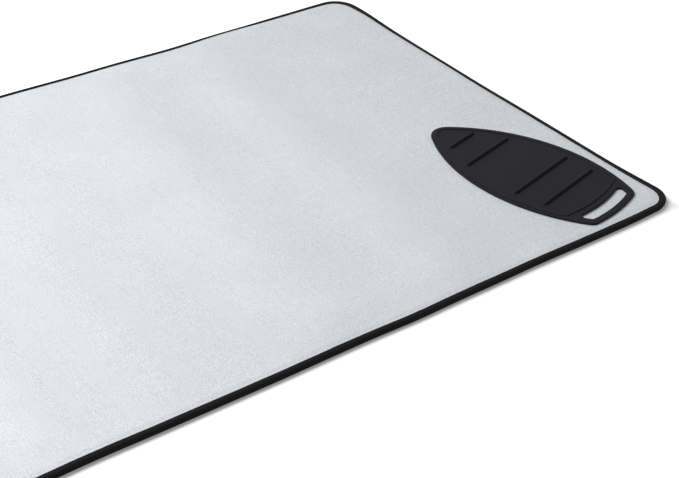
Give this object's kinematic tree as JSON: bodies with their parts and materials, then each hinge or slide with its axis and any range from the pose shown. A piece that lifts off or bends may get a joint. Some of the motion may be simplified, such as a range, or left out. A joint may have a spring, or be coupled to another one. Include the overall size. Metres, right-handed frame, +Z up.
{
  "type": "ironing mat",
  "caption": "Flat padded ironing mat for a table top, with a silver-coated top, a black bound edge and a loose ridged silicone rest for a hot iron.",
  "frame": {"origin": "middle of the mat's underside, on the table", "axes": "+X along the mat towards the end where the iron rest lies, +Y across it away from the rest's handle, +Z up"},
  "size_m": [1.2, 0.7, 0.0149],
  "materials": {
    "back_cloth": "matte",
    "foam": "matte",
    "felt": "matte",
    "cover_cloth": "satin",
    "binding_tape": "matte",
    "sewing_thread": "satin",
    "silicone": "matte"
  },
  "bodies": {
    "mat": {"back_cloth": "back_cloth", "foam_pad": "foam", "felt_pad": "felt", "top_cover": "cover_cloth", "edge_binding": "binding_tape", "needle_thread": "sewing_thread", "bobbin_thread": "sewing_thread"},
    "iron_rest": {"iron_rest": "silicone"}
  },
  "joints": [
    {"name": "rest_lift", "type": "slide", "parent": "mat", "child": "iron_rest", "axis": [0, 0, 1], "range_m": [0, 0.1]}
  ]
}
